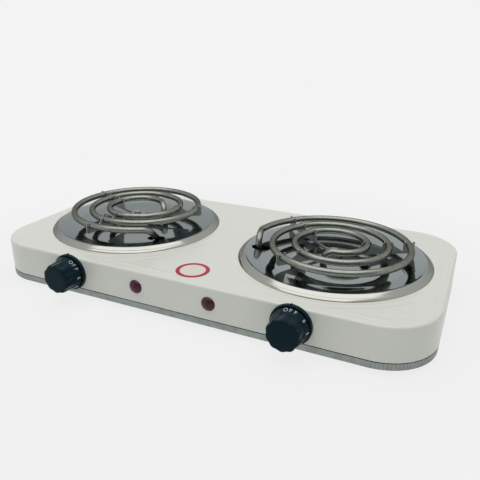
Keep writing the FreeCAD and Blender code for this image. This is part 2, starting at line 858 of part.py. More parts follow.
def coil_terminals(burner):
    """Ceramic beads that seal the ends of the tube, and the pins that come out of them."""
    beads, pins = [], []
    for index, leg in enumerate(burner.legs()):
        name = f"{burner.side}_{index}"
        x = burner.x + leg.x
        y = burner.y + leg.y
        bead_at = (x, y, leg_end - bead_height)
        blank = cylinder(f"bead_blank_{name}", tube_radius - clearance, bead_height, bead_at)
        bore = cylinder(f"bead_bore_{name}", pin_radius + fit, bead_height, bead_at)
        beads.append(cut(f"bead_{name}", blank, bore))
        pins.append(cylinder(f"pin_{name}", pin_radius, leg_end - pin_bottom, (x, y, pin_bottom)))
    group(f"terminal_beads_{burner.side}", beads)
    group(f"terminal_pins_{burner.side}", pins)


def front_cylinder(name, radius, back, front, x):
    """A cylinder square to the front wall, between two distances out from its outer face."""
    length = as_size(front) - back
    return cylinder(name, radius, length, (x, front_y - back, control_z), FRONT)


def front_box(name, width, height, back, front, x):
    """A box in the middle of a control, between two distances out from the wall's outer face."""
    width = as_size(width)
    height = as_size(height)
    depth = as_size(front) - back
    return box(name, width, depth, height, (x - width / 2, front_y - front, control_z - height / 2))


def thermostat(side, sign):
    """Bought-in control: a ceramic body behind the wall, its plate, tabs and turning shaft."""
    x = control_at(sign)
    case = front_box(f"control_case_{side}", control_width, control_height, -control_back, -control_front, x)
    bush = front_cylinder(f"control_bush_{side}", bush_radius, -control_front, bush_reach, x)
    solid = fuse(f"control_solid_{side}", case, bush)
    shaft_end = shaft_tail - control_back
    bore = front_cylinder(f"control_bore_{side}", knob_bore, shaft_end - clearance, bush_reach, x)
    taps = [front_cylinder(f"control_tap_{side}_{way}", screw_radius + fit, -control_front - tap_depth,
                           -control_front, x + tap_spacing * way) for way in (-1, 1)]
    node(cut(f"thermostat_body_{side}", solid, bore, *taps))

    blank = front_box(f"plate_blank_{side}", plate_width, plate_height, -control_front, -sheet_metal, x)
    middle = front_cylinder(f"plate_hole_{side}", bush_radius + clearance, -control_front, 0, x)
    sides = [front_cylinder(f"plate_tap_{side}_{way}", screw_radius + clearance, -control_front, 0,
                            x + tap_spacing * way) for way in (-1, 1)]
    node(cut(f"thermostat_plate_{side}", blank, middle, *sides))

    tabs = [front_box(f"tab_{side}_{way}", tab_width, tab_sheet, -control_back - tab_length, -control_back,
                      x + tab_x * way) for way in (-1, 1)]
    group(f"thermostat_tabs_{side}", tabs)

    rod = front_cylinder(f"shaft_rod_{side}", shaft_radius, shaft_end, knob_reach - knob_cap, x)
    flat = front_box(f"shaft_flat_{side}", shaft_radius * 2, shaft_radius, knob_back, knob_reach, x)
    bind(flat, "Placement.Base.z", control_z + shaft_flat)
    node(cut(f"control_shaft_{side}", rod, flat))


def thermostat_screws():
    """Screws through each dial ring and the wall into the control behind."""
    screws = []
    stem_end = clearance * 3 - control_front - tap_depth
    head_top = dial_plate + head_height
    for side, sign in SIDES:
        for way in (-1, 1):
            name = f"{side}_{way}"
            x = control_at(sign) + tap_spacing * way
            head = front_cylinder(f"control_head_{name}", head_radius, dial_plate, head_top, x)
            stem = front_cylinder(f"control_stem_{name}", screw_radius, stem_end, dial_plate, x)
            screws.append(fuse(f"control_screw_{name}", head, stem))
    group("thermostat_screws", screws)


def dial_ring(side, sign):
    """Fixed black ring behind the knob, with a lip and a pointer at the top."""
    body = new_body(f"dial_ring_{side}")
    bore = bush_radius + clearance * 2
    lip = dial_radius - dial_lip
    bevel = dial_lip / 2
    revolve(body, [(bore, 0), (dial_radius, 0), (dial_radius, dial_depth - bevel),
                   (dial_radius - bevel, dial_depth), (lip, dial_depth), (lip, dial_plate),
                   (bore, dial_plate)])
    mark = sketch(body, f"pointer_{side}", "XY_Plane", (0, 0, dial_plate / 2))
    root = dial_radius - bevel / 2
    outline(mark, [(-pointer_half, root), (pointer_half, root), (0, dial_radius + pointer_reach)])
    pad(body, f"pointer_pad_{side}", mark, dial_depth / 2)
    holes = sketch(body, f"dial_holes_{side}", "XY_Plane", (0, 0, dial_plate))
    for way in (-1, 1):
        circle(holes, tap_spacing * way, 0, screw_radius + clearance)
    pocket(body, f"dial_cut_{side}", holes, dial_plate)
    place(body, (control_at(sign), front_y, control_z), FRONT)
    node(body)


def knob(side, sign):
    """Black moulded knob: a skirt for the markings, a fluted grip and a D-shaped bore."""
    body = new_body(f"knob_{side}")
    boss = shaft_radius * 2
    boss_back = knob_back + clearance * 2
    recess = (knob_back + knob_shoulder) / 2
    skirt = knob_radius - knob_cap / 2
    skirt_edge = knob_back + dial_lip
    nose_edge = 0.8
    revolve(body, [(0, boss_back), (boss, boss_back), (boss, recess), (knob_radius - knob_cap, recess),
                   (skirt, knob_back), (knob_radius, knob_back), (knob_radius, skirt_edge),
                   (grip_radius, knob_shoulder), (nose_radius, knob_reach - nose_edge),
                   (nose_radius - nose_edge, knob_reach), (0, knob_reach)])
    flute_length = knob_reach - knob_shoulder - dial_lip
    flute = sketch(body, f"flute_{side}", "XY_Plane", (0, 0, knob_reach))
    circle(flute, 0, nose_radius + flute_radius - flute_depth, flute_radius)
    groove = pocket(body, f"flute_cut_{side}", flute, flute_length)
    flutes = body.newObject("PartDesign::PolarPattern", f"flutes_{side}")
    flutes.Originals = [groove]
    flutes.Axis = (flute, ["N_Axis"])
    flutes.Angle = 360
    flutes.Occurrences = FLUTE_COUNT
    body.Tip = flutes
    doc.recompute()
    bore = sketch(body, f"bore_{side}", "XY_Plane", (0, 0, boss_back))
    d_hole(bore, knob_bore, shaft_flat + spring_sheet + fit * 4)
    pocket(body, f"bore_cut_{side}", bore, knob_reach - knob_cap + clearance - boss_back, reverse=True)
    x = control_at(sign)
    place(body, (x, front_y, control_z), FRONT)
    node(body)

    leaf_back = knob_back + bush_reach + clearance
    leaf_front = knob_reach - knob_cap - clearance
    leaf = front_box(f"knob_spring_{side}", shaft_radius, spring_sheet, leaf_back, leaf_front, x)
    bind(leaf, "Placement.Base.z", control_z + shaft_flat + fit * 2)
    node(leaf)


def d_hole(item, radius, flat):
    """A round hole with a flat across its upper side."""
    reach = math.sqrt(radius.value ** 2 - flat.value ** 2)
    angle = math.atan2(flat.value, reach)
    rim = Part.Circle(Vector(), Vector(0, 0, 1), radius.value)
    arc = item.addGeometry(Part.ArcOfCircle(rim, math.pi - angle, 2 * math.pi + angle))
    chord = item.addGeometry(Part.LineSegment(Vector(reach, flat.value, 0), Vector(-reach, flat.value, 0)))
    item.addConstraint(Sketcher.Constraint("Coincident", arc, 2, chord, 1))
    item.addConstraint(Sketcher.Constraint("Coincident", chord, 2, arc, 1))
    item.addConstraint(Sketcher.Constraint("Coincident", arc, 3, -1, 1))
    item.addConstraint(Sketcher.Constraint("Horizontal", chord))
    number = item.addConstraint(Sketcher.Constraint("Radius", arc, radius.value))
    item.setExpression(f"Constraints[{number}]", radius.text)
    hold(item, "DistanceY", chord, 1, flat)


def pilot_lamp(side, sign):
    """Red lens pressed through the wall, with a neon bulb plugged into its stem."""
    lens = new_body(f"lamp_lens_{side}")
    cavity = lamp_stem - lamp_wall
    stem_end = -lamp_stem_length
    revolve(lens, [(0, lamp_dome), (lamp_radius * 0.5, lamp_dome * 0.88),
                   (lamp_radius * 0.85, lamp_dome * 0.55), (lamp_radius, lamp_dome * 0.2),
                   (lamp_radius, 0), (lamp_stem, 0), (lamp_stem, stem_end), (cavity, stem_end),
                   (cavity, clearance), (0, clearance)])
    place(lens, (lamp_at(sign), front_y, control_z), FRONT)
    node(lens)
    bulb = new_body(f"lamp_bulb_{side}")
    glass = cavity - clearance * 3
    tip = -1 * sheet_metal
    flange_end = stem_end - lamp_wall
    revolve(bulb, [(0, tip), (glass * 0.6, tip * 1.5), (glass, tip * 3), (glass, stem_end),
                   (lamp_stem, stem_end), (lamp_stem, flange_end), (glass, flange_end),
                   (glass, -lamp_length), (0, -lamp_length)])
    place(bulb, (lamp_at(sign), front_y, control_z), FRONT)
    node(bulb)


def lamp_clips():
    """Push-on steel rings that hold the lenses from behind the wall."""
    rings = []
    back = -sheet_metal - clip_sheet
    for side, sign in SIDES:
        x = lamp_at(sign)
        blank = front_cylinder(f"clip_blank_{side}", lamp_stem + clip_width, back, -sheet_metal, x)
        bore = front_cylinder(f"clip_bore_{side}", lamp_stem + fit, back, -sheet_metal, x)
        rings.append(cut(f"clip_{side}", blank, bore))
    group("lamp_clips", rings)


def terminal_block():
    """Five-pole block on the tray, with its clamp screws and its two fixing screws."""
    front = block_y - block_depth / 2
    top = base_floor + block_height
    solid = box("block_solid", block_width, block_depth, block_height, (-block_width / 2, front, base_floor))
    ways, clamps, fixings = [], [], []
    clamp_y = front + clamp_inset
    clamp_bottom = pole_height + clamp_gap
    for index in POLES:
        x = pole_pitch * index
        mouth = (x, front, pole_height)
        ways.append(cylinder(f"pole_way_{index}", wire_radius * 2 + clearance, block_depth, mouth, BACK))
        clamp_way = (x, clamp_y, pole_height)
        ways.append(cylinder(f"clamp_way_{index}", block_screw + fit, block_height, clamp_way))
        clamp_at = (x, clamp_y, clamp_bottom)
        clamps.append(cylinder(f"clamp_{index}", block_screw, top - clamp_bottom, clamp_at))
    for _, sign in SIDES:
        x = block_fixing_x * sign
        fixing_way = (x, block_y, base_floor)
        ways.append(cylinder(f"fixing_way_{sign}", block_screw + fit, block_fixing_depth, fixing_way))
        under = (x, block_y, foot_height - head_height)
        head = cylinder(f"fixing_head_{sign}", block_screw * 2, head_height, under)
        stem = cylinder(f"fixing_stem_{sign}", block_screw, block_fixing_depth, (x, block_y, foot_height))
        fixings.append(fuse(f"fixing_{sign}", head, stem))
    node(cut("terminal_block", solid, *ways))
    group("block_clamp_screws", clamps)
    group("block_fixing_screws", fixings)


def earth_point():
    """Earth screw up through the tray, with the lug and the nut that clamps it."""
    head = cylinder("earth_head", head_radius, head_height, (0, earth_y, foot_height - head_height))
    stem = cylinder("earth_stem", screw_radius, earth_stem, (0, earth_y, foot_height))
    node(fuse("earth_screw", head, stem))
    lug_at = (0, earth_y, base_floor)
    ring = cylinder("lug_ring", nut_radius, lug_sheet, lug_at)
    tongue = box("lug_tongue", lug_width, lug_length, lug_sheet, (-lug_width / 2, earth_y, base_floor))
    hole = cylinder("lug_hole", screw_radius + clearance, lug_sheet, lug_at)
    node(cut("earth_lug", fuse("lug_solid", ring, tongue), hole))
    node(nut("earth_nut", (0, earth_y, base_floor + lug_sheet)))


def wiring():
    """Inner wiring: stiff insulated wires that lie above the tray and keep their bends.

    Each route is written for the right-hand side and mirrored; its ends come from the pieces it joins.
    """
    run_z = base_floor.value + 4
    pole_z = pole_height.value
    pole_back = block_y.value + 3
    tab_y = (front_y + control_back + tab_length).value
    lamp_y = (front_y + lamp_length).value
    level = control_z.value
    pitch = pole_pitch.value
    beside = wire_radius.value + 0.02
    bend = 4.0
    routes = {"live_wires": [], "switched_wires": [], "neutral_wires": [], "lamp_wires": []}
    for (side, sign), burner in zip(SIDES, BURNERS):
        outer, inner = [leg + Vector(burner.x.value, burner.y.value, 0) for leg in burner.legs()]
        control = control_at(sign).value * sign
        live_tab = control + tab_x.value
        switched_tab = control - tab_x.value
        lamp = lamp_at(sign).value * sign
        out_x = outer.x * sign
        in_x = inner.x * sign
        pin_z = pin_bottom.value
        main = switched_tab + 1.6
        extra = switched_tab - 1.6
        routes["live_wires"].append((sign, [
            (2 * pitch, pole_back, pole_z), (2 * pitch, 72, pole_z), (44, 60, run_z), (152, 54, run_z),
            (172, -10, run_z), (live_tab + 10, -58, 18), (live_tab, -66, level), (live_tab, tab_y, level)]))
        routes["switched_wires"].append((sign, [
            (main, tab_y, level), (main, -68, level), (main - 14, -50, run_z),
            (out_x + 8, outer.y - 12, run_z), (out_x, outer.y, run_z), (out_x, outer.y, pin_z)]))
        routes["neutral_wires"].append((sign, [
            (pitch + beside, pole_back, pole_z), (pitch + beside, 70, pole_z), (36, 48, run_z),
            (in_x - 24, inner.y + 20, run_z), (in_x - 10, inner.y, run_z), (in_x, inner.y, run_z),
            (in_x, inner.y, pin_z)]))
        routes["lamp_wires"].append((sign, [
            (pitch - beside, pole_back, pole_z), (pitch - beside, 66, pole_z), (pitch, 20, run_z),
            (lamp - 8, -50, run_z), (lamp - 1.5, -84, level), (lamp - 1.5, lamp_y, level)]))
        routes["lamp_wires"].append((sign, [
            (lamp + 1.5, lamp_y, level), (lamp + 1.5, -88, level), (lamp + 20, -76, 26),
            (extra - 8, -70, 26), (extra, -64, level), (extra, tab_y, level)]))
    for name, wires in routes.items():
        solids = []
        for sign, points in wires:
            path = Part.Wire(rounded_route([Vector(x * sign, y, z) for x, y, z in points], bend))
            solids.append(tube(path, wire_radius.value))
        feature(name, Part.makeCompound(solids))
    lug_top = (base_floor + lug_sheet + wire_radius + fit).value
    points = [Vector(0, pole_back, pole_z), Vector(0, 72, pole_z), Vector(0, 64, lug_top),
              Vector(0, earth_y.value + 4.5, lug_top)]
    feature("earth_wire", tube(Part.Wire(rounded_route(points, bend)), wire_radius.value))


def cord_grommet():
    """Rubber bush in the back wall, which the mains cord would come through."""
    body = new_body("cord_grommet")
    neck = grommet_neck - fit
    bore = grommet_neck / 2
    inner_flange = sheet_metal * 4
    outer_flange = grommet_reach / 3
    nose = neck - sheet_metal
    revolve(body, [(bore, -inner_flange), (grommet_flange, -inner_flange), (grommet_flange, -sheet_metal),
                   (neck, -sheet_metal), (neck, 0), (grommet_flange, 0), (grommet_flange, outer_flange),
                   (neck, outer_flange), (nose, grommet_reach), (bore, grommet_reach)])
    place(body, (0, back_y, control_z), BACK)
    node(body)


top_housing()
base_plate()
feet()
pillars()
for one_burner in BURNERS:
    drip_pan(one_burner)
    heating_coil(one_burner)
    coil_support(one_burner)
    centre_bolt(one_burner)
    coil_terminals(one_burner)
centre_fixings()
for side_name, side_sign in SIDES:
    thermostat(side_name, side_sign)
    dial_ring(side_name, side_sign)
    knob(side_name, side_sign)
    pilot_lamp(side_name, side_sign)
thermostat_screws()
lamp_clips()
terminal_block()
earth_point()
wiring()
cord_grommet()

doc.recompute()
for item in doc.Objects:
    if "Invalid" in item.State or "Error" in item.State:
        raise RuntimeError(f"{item.Name} did not recompute: {item.State}")
for item in nodes:
    if item.Shape.isNull() or not item.Shape.isValid():
        raise RuntimeError(f"{item.Label} has no valid shape")
os.makedirs("parts", exist_ok=True)
for item in nodes:
    item.Shape.exportStep(f"parts/{item.Label}.step")
print(f"{len(nodes)} sub-parts written")
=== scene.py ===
import math

import bpy
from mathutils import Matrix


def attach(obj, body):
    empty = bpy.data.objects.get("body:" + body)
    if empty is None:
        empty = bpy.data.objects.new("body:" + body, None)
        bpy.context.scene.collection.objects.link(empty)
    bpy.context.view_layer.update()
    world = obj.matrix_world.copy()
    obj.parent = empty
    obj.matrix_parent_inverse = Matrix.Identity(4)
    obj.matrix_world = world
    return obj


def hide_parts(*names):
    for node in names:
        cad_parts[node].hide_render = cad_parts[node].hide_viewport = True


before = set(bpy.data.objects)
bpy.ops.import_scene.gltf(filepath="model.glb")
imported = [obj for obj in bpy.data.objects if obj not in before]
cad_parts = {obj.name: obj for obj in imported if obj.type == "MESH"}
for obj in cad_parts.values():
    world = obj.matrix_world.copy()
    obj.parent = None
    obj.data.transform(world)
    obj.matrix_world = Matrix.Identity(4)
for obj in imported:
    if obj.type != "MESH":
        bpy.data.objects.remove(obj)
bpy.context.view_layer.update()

# All sizes and places are in millimetres. The knobs count in the footprint, so the body's middle lies a
# little behind the origin. The burners' middles are on that line, at these distances to the right of it.
MM = 0.001
MIDDLE_Y = 9
DECK_Z = 47
BURNERS = {"left": -123.5, "right": 123.5}


# Base tray: galvanised sheet steel, pressed with an upstand that shows as a grey strip under the body.
# The zinc has a faint crystal pattern, and the rounded corners are puckered where the sheet was drawn in.
class Value:
    """A socket of a finish, so that shader maths reads as plain sums."""

    def __init__(self, finish, socket):
        self.finish = finish
        self.socket = socket

    def __add__(self, other):
        return self.finish.math("ADD", self, other)

    def __sub__(self, other):
        return self.finish.math("SUBTRACT", self, other)

    def __mul__(self, other):
        return self.finish.math("MULTIPLY", self, other)

    def __pow__(self, other):
        return self.finish.math("POWER", self, other)

    def __abs__(self):
        return self.finish.math("ABSOLUTE", self)


class Finish:
    """A material: its shader, and the nodes that vary it over a surface."""

    def __init__(self, name, constants):
        self.material = bpy.data.materials.new(name)
        self.material.use_nodes = True
        self.tree = self.material.node_tree
        self.shader = self.tree.nodes["Principled BSDF"]
        self.set(constants)
        self.place = self.node("ShaderNodeTexCoord", {}, {}, "Object")

    def set(self, sockets):
        for name, value in sockets.items():
            self.feed(self.shader.inputs[name], value)

    def feed(self, socket, value):
        if isinstance(value, Value):
            self.tree.links.new(value.socket, socket)
        else:
            socket.default_value = value

    def node(self, kind, settings, sockets, output=0):
        made = self.tree.nodes.new(kind)
        for name, value in settings.items():
            setattr(made, name, value)
        for name, value in sockets.items():
            self.feed(made.inputs[name], value)
        return Value(self, made.outputs[output])

    def math(self, operation, first, second=0):
        return self.node("ShaderNodeMath", {"operation": operation}, {0: first, 1: second})

    def plan(self):
        """A place seen from above, in millimetres."""
        axes = [self.node("ShaderNodeSeparateXYZ", {}, {"Vector": self.place}, axis) for axis in "XY"]
        return [axis * (1 / MM) for axis in axes]

    def reach(self, across, along):
        """How far a place is from an upright line, given both of its distances from it in plan."""
        return (across * across + along * along) ** 0.5

    def noise(self, scale, detail):
        return self.node("ShaderNodeTexNoise", {}, {"Vector": self.place, "Scale": scale, "Detail": detail})

    def cells(self, scale):
        tint = self.node("ShaderNodeTexVoronoi", {}, {"Vector": self.place, "Scale": scale}, "Color")
        return self.node("ShaderNodeSeparateXYZ", {}, {"Vector": tint})

    def ramp(self, value, low, high, start=0.0, end=1.0):
        span = {"Value": value, "From Min": low, "From Max": high, "To Min": start, "To Max": end}
        return self.node("ShaderNodeMapRange", {"interpolation_type": "SMOOTHSTEP"}, span)

    def mix(self, factor, first, second):
        return self.node("ShaderNodeMix", {"data_type": "RGBA"}, {0: factor, 6: first, 7: second}, 2)

    def relief(self, height):
        """A height in millimetres, as a normal."""
        return self.node("ShaderNodeBump", {}, {"Height": height, "Strength": 1.0, "Distance": MM})

    def dress(self, *names):
        for name in names:
            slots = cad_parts[name].data.materials
            slots.clear()
            slots.append(self.material)


def colour(red, green, blue):
    """A colour as it is seen, from 0 to 255, for a shader's socket."""
    shares = [channel / 255 for channel in (red, green, blue)]
    return [((share + 0.055) / 1.055) ** 2.4 if share > 0.04 else share / 12.92 for share in shares] + [1.0]


CORNER_X = 189
CORNER_Y = 69
CORNER_BLEND = 4
PUCKERS = 24
zinc = Finish("galvanised_zinc", {"Metallic": 1.0})
x, y = zinc.plan()
crystal = zinc.cells(210)
cloud = zinc.noise(45, 4)
past_x = abs(x) - CORNER_X
past_y = abs(y - MIDDLE_Y) - CORNER_Y
in_corner = zinc.ramp(zinc.math("MINIMUM", past_x, past_y), 0.0, CORNER_BLEND)
around = zinc.math("ARCTAN2", past_y, past_x)
pucker = zinc.math("SINE", around * (4 * PUCKERS) + cloud * 3)
# Painted shade: the base colour is darkened along the grooves of the corner puckers, where shade would fall
# between the ribs.
painted_pucker_shade = zinc.ramp(pucker, -0.2, 0.9) * in_corner * 0.25
sheet = zinc.mix(crystal * 0.6 + cloud * 0.4, colour(126, 134, 130), colour(158, 164, 160))
zinc.set({
    "Base Color": zinc.mix(painted_pucker_shade, sheet, colour(84, 92, 90)),
    "Roughness": crystal * 0.12 + cloud * 0.1 + 0.3,
    "Normal": zinc.relief(pucker * in_corner * 0.2 + cloud * 0.04),
})
zinc.dress("base_plate")


# Feet and cord gland: black rubber mouldings, matt and slightly dusty. The feet are screwed on through
# their wells, and the gland is pushed into the back wall.
rubber = Finish("black_rubber", {"Specular IOR Level": 0.35})
dust = rubber.noise(90, 5)
grain = rubber.noise(1400, 2)
rubber.set({
    "Base Color": rubber.mix(dust, colour(22, 23, 24), colour(40, 41, 42)),
    "Roughness": dust * 0.2 + 0.6,
    "Normal": rubber.relief(grain * 0.06),
})
rubber.dress("rubber_feet", "cord_grommet")


# Fasteners, pillars, clips and shafts: mild steel with bright zinc plating, a little yellowed and scuffed.
plating = Finish("zinc_plating", {"Metallic": 1.0})
tarnish = plating.noise(160, 4)
scuff = plating.noise(900, 3)
plating.set({
    "Base Color": plating.mix(tarnish, colour(176, 178, 174), colour(196, 190, 168)),
    "Roughness": scuff * 0.18 + 0.22,
    "Normal": plating.relief(scuff * 0.02),
})
plating.dress("foot_screws", "foot_nuts", "housing_pillars", "base_screws", "centre_spacers", "centre_nuts")
plating.dress("thermostat_screws", "lamp_clips", "block_clamp_screws", "block_fixing_screws")
plating.dress("earth_screw", "earth_lug", "earth_nut")
for side in BURNERS:
    plating.dress(f"terminal_pins_{side}", f"thermostat_plate_{side}")
    plating.dress(f"control_shaft_{side}", f"knob_spring_{side}")


# Controls and end seals inside the body: unglazed steatite ceramic, cream white with a dry bisque surface.
ceramic = Finish("steatite", {"Specular IOR Level": 0.3})
bisque = ceramic.noise(70, 5)
pores = ceramic.noise(1800, 2)
ceramic.set({
    "Base Color": ceramic.mix(bisque, colour(226, 220, 206), colour(238, 234, 224)),
    "Roughness": pores * 0.2 + 0.55,
    "Normal": ceramic.relief(pores * 0.05),
})
for side in BURNERS:
    ceramic.dress(f"thermostat_body_{side}", f"terminal_beads_{side}")


# Push-on tabs of the controls: plain brass strip, dulled by handling.
brass = Finish("brass_strip", {"Metallic": 1.0})
handled = brass.noise(300, 4)
brass.set({
    "Base Color": brass.mix(handled, colour(186, 150, 80), colour(214, 184, 112)),
    "Roughness": handled * 0.25 + 0.2,
})
brass.dress("thermostat_tabs_left", "thermostat_tabs_right")


# Terminal block: five poles moulded in grey-white polyamide, screwed to the tray just inside the gland.
polyamide = Finish("block_polyamide", {"IOR": 1.53})
flow = polyamide.noise(120, 3)
polyamide.set({
    "Base Color": polyamide.mix(flow, colour(206, 206, 200), colour(220, 220, 214)),
    "Roughness": flow * 0.15 + 0.35,
})
polyamide.dress("terminal_block")


# Inner wiring: single cores in heat-proof sleeving, one colour for each duty, with a fine woven ripple.
def sleeving(name, dark, light, node):
    """Dresses a set of wires in sleeving of one colour."""
    cover = Finish(name, {"Specular IOR Level": 0.3})
    weave = cover.noise(2600, 1)
    wear = cover.noise(80, 3)
    cover.set({
        "Base Color": cover.mix(wear, dark, light),
        "Roughness": weave * 0.2 + 0.5,
        "Normal": cover.relief(weave * 0.08),
    })
    cover.dress(node)


sleeving("brown_sleeving", colour(84, 52, 34), colour(104, 68, 46), "live_wires")
sleeving("black_sleeving", colour(26, 26, 27), colour(42, 42, 43), "switched_wires")
sleeving("blue_sleeving", colour(34, 66, 132), colour(52, 88, 156), "neutral_wires")
sleeving("white_sleeving", colour(214, 212, 204), colour(230, 228, 222), "lamp_wires")
sleeving("green_sleeving", colour(60, 128, 52), colour(150, 168, 48), "earth_wire")


# Body: deep-drawn sheet steel in warm white stove enamel, dropped over the tray, with a faint orange peel.
enamel = Finish("white_enamel", {"IOR": 1.5, "Coat Weight": 0.25, "Coat Roughness": 0.12})
peel = enamel.noise(420, 2)
mottle = enamel.noise(14, 4)
enamel.set({
    "Base Color": enamel.mix(mottle, colour(226, 227, 218), colour(234, 234, 226)),
    "Roughness": mottle * 0.1 + peel * 0.06 + 0.3,
    "Normal": enamel.relief(peel * 0.012),
})
enamel.dress("top_housing")


# Round label: a plain paper sticker with a red ring and a bare pale middle, stuck on the deck between the
# burners.
MERGED = 0.001


def metres(sizes):
    """Sizes in millimetres, turned into metres."""
    return [size * MM for size in sizes]


def pick(*pieces):
    """Selects only these pieces, and makes the first of them active."""
    bpy.ops.object.select_all(action="DESELECT")
    for piece in pieces:
        piece.select_set(True)
    bpy.context.view_layer.objects.active = pieces[0]


def turned(name, profile, sides):
    """A round piece about the Z axis, drawn out ring by ring from a circle and left in edit mode."""
    bpy.ops.object.select_all(action="DESELECT")
    radius, height = profile[0]
    bpy.ops.mesh.primitive_circle_add(vertices=sides, radius=radius * MM, location=(0, 0, height * MM))
    piece = bpy.context.object
    piece.name = name
    bpy.ops.object.transform_apply(location=True, rotation=True, scale=True)
    bpy.ops.object.mode_set(mode="EDIT")
    bpy.ops.mesh.select_all(action="SELECT")
    for next_radius, next_height in profile[1:]:
        ratio = next_radius / radius
        bpy.ops.mesh.extrude_region()
        bpy.ops.transform.resize(value=(ratio, ratio, 1), center_override=(0, 0, 0))
        bpy.ops.transform.translate(value=(0, 0, (next_height - height) * MM))
        radius = next_radius
        height = next_height
    return piece


def close_end():
    """Draws the ring that is selected together at its middle."""
    bpy.ops.mesh.extrude_region()
    bpy.ops.mesh.merge(type="CENTER")


def outward():
    """Merges doubles, turns all faces outwards and leaves edit mode."""
    bpy.ops.mesh.select_all(action="SELECT")
    bpy.ops.mesh.remove_doubles(threshold=MERGED * MM)
    bpy.ops.mesh.normals_make_consistent(inside=False)
    bpy.ops.object.mode_set(mode="OBJECT")


def put(piece, place, turn=(0, 0, 0)):
    """Moves a finished piece to its place on the object, turned by angles in degrees, and fixes it there."""
    pick(piece)
    piece.location = metres(place)
    piece.rotation_euler = [math.radians(angle) for angle in turn]
    bpy.ops.object.transform_apply(location=True, rotation=True, scale=True)


def smooth(piece, degrees):
    """Shades a piece smooth, apart from edges that are sharper than an angle."""
    pick(piece)
    bpy.ops.object.shade_smooth_by_angle(angle=math.radians(degrees))


LABEL_X = 7.7
LABEL_Y = -84
LABEL_PROFILE = [(17.2, 0.0), (17.2, 0.12), (17.1, 0.16), (8.0, 0.16)]
label = turned("deck_label", LABEL_PROFILE, 96)
close_end()
outward()
put(label, (LABEL_X, LABEL_Y, DECK_Z))
smooth(label, 40)
paper = Finish("printed_paper", {"Specular IOR Level": 0.4})
x, y = paper.plan()
reach = paper.reach(x - LABEL_X, y - LABEL_Y)
fibre = paper.noise(1500, 3)
printed = paper.ramp(reach, 12.7, 13.0) * paper.ramp(reach, 16.9, 17.1, 1.0, 0.0)
blank = paper.mix(fibre, colour(226, 222, 212), colour(236, 232, 224))
paper.set({
    "Base Color": paper.mix(printed, blank, colour(178, 32, 58)),
    "Roughness": fibre * 0.15 + 0.42,
    "Normal": paper.relief(fibre * 0.02),
})
label.data.materials.append(paper.material)
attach(label, "housing")


# Deck beads: low stiffening ribs pressed up in the sheet. They frame a panel in each corner of the deck and
# two between the burners, and one more runs round each pan. Under the label the sheet is left plain.
BEAD_HALF = 2.4
BEAD_HEIGHT = 0.4
BEAD_MARGIN = 0.8
BEAD_SUNK = 0.03
BEAD_MESH = 0.75
BEAD_FIELD_X = 462
BEAD_FIELD_Y = 243
PAN_BEAD_RADIUS = 105.5
PANEL_RADIUS = 112.8
PANEL_BLEND = 4
PANEL_CORNER_X = 189.5
PANEL_CORNER_Y = 68.5
PANEL_CORNER_RADIUS = 40
WAIST_Y = -3.7
WAIST_HALF = 19.8
LABEL_CLEAR = 18
LABEL_FADE = 5


def blend(first, second):
    """The greater of two distances, rounded over where they are close."""
    near = max(PANEL_BLEND - abs(first - second), 0) / PANEL_BLEND
    return max(first, second) + near ** 3 * PANEL_BLEND / 6


def from_bead(place):
    """How far a place on the deck is from the middle of the nearest bead."""
    x = place.x / MM
    y = place.y / MM - MIDDLE_Y
    left, right = [math.hypot(x - middle, y) for middle in BURNERS.values()]
    rings = blend(PANEL_RADIUS - left, PANEL_RADIUS - right)
    edge_x = abs(x) - PANEL_CORNER_X
    edge_y = abs(y) - PANEL_CORNER_Y
    outside = math.hypot(max(edge_x, 0), max(edge_y, 0))
    border = outside + min(max(edge_x, edge_y), 0) - PANEL_CORNER_RADIUS
    waist = WAIST_HALF - abs(y - WAIST_Y)
    panel = blend(rings, blend(border, waist))
    return min(abs(panel), abs(min(left, right) - PAN_BEAD_RADIUS))


def from_label(place):
    """How far a place on the deck is from the plain sheet round the label, and below 0 inside it."""
    return math.hypot(place.x / MM - LABEL_X, place.y / MM - LABEL_Y) - LABEL_CLEAR


def select_points(piece, wanted):
    """Goes into edit mode with only those points selected that pass a test."""
    bpy.ops.object.mode_set(mode="EDIT")
    bpy.ops.mesh.select_mode(type="VERT")
    bpy.ops.mesh.select_all(action="DESELECT")
    bpy.ops.object.mode_set(mode="OBJECT")
    for point in piece.data.vertices:
        point.select = wanted(point.co)
    bpy.ops.object.mode_set(mode="EDIT")


def modify(piece, kind, **settings):
    """Adds a modifier, sets it and applies it."""
    pick(piece)
    added = piece.modifiers.new(kind.lower(), kind)
    for name, value in settings.items():
        setattr(added, name, value)
    bpy.ops.object.modifier_apply(modifier=added.name)


bpy.ops.object.select_all(action="DESELECT")
bpy.ops.mesh.primitive_grid_add(
    x_subdivisions=round(BEAD_FIELD_X / BEAD_MESH), y_subdivisions=round(BEAD_FIELD_Y / BEAD_MESH),
    size=1, location=metres((0, MIDDLE_Y, DECK_Z - BEAD_SUNK)))
beads = bpy.context.object
beads.name = "deck_beads"
beads.scale = (BEAD_FIELD_X * MM, BEAD_FIELD_Y * MM, 1)
bpy.ops.object.transform_apply(location=True, rotation=True, scale=True)
select_points(beads, lambda place: from_bead(place) > BEAD_HALF + BEAD_MARGIN or from_label(place) < 0)
bpy.ops.mesh.delete(type="VERT")
bpy.ops.object.mode_set(mode="OBJECT")
risen = beads.vertex_groups.new(name="risen")
for point in beads.data.vertices:
    share = min(from_bead(point.co) / BEAD_HALF, 1)
    rise = (1 - share ** 2) ** 2 * min(from_label(point.co) / LABEL_FADE, 1)
    risen.add([point.index], rise, "REPLACE")
modify(beads, "DISPLACE", direction="Z", mid_level=0, strength=BEAD_HEIGHT * MM, vertex_group="risen")
smooth(beads, 60)
beads.data.materials.append(enamel.material)
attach(beads, "housing")


